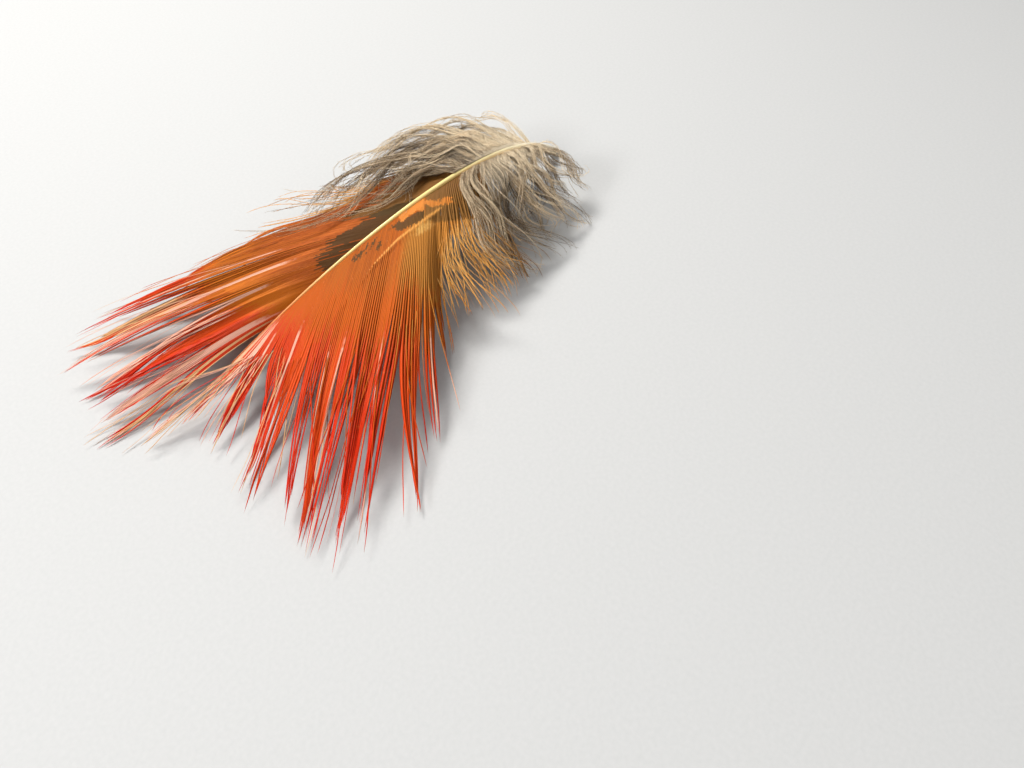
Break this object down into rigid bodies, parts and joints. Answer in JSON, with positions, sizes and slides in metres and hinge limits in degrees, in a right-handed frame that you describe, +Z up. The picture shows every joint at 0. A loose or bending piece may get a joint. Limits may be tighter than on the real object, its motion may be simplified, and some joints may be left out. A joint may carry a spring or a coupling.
{
  "type": "pheasant body feather",
  "caption": "Arched body feather with a split red fringe, blotched rufous vane and grey-brown down, lying hollow side down on its lock tips.",
  "frame": {"origin": "on the ground under the middle of the feather's box", "axes": "+Z up, away from the hollow underside; +X towards the quill's bare end, -X towards the red fringe; +Y the side with the dark blotch, -Y the frayed side"},
  "size_m": [0.0942, 0.061, 0.0131],
  "materials": {
    "vane": "hooked feather barbs, rufous to scarlet, satin with a silky sheen",
    "down": "loose grey-brown down, matt, pale at the tips",
    "quill": "horn of the shaft, cream to golden, polished"
  },
  "bodies": {
    "root": {"feather": "vane"}
  },
  "joints": []
}
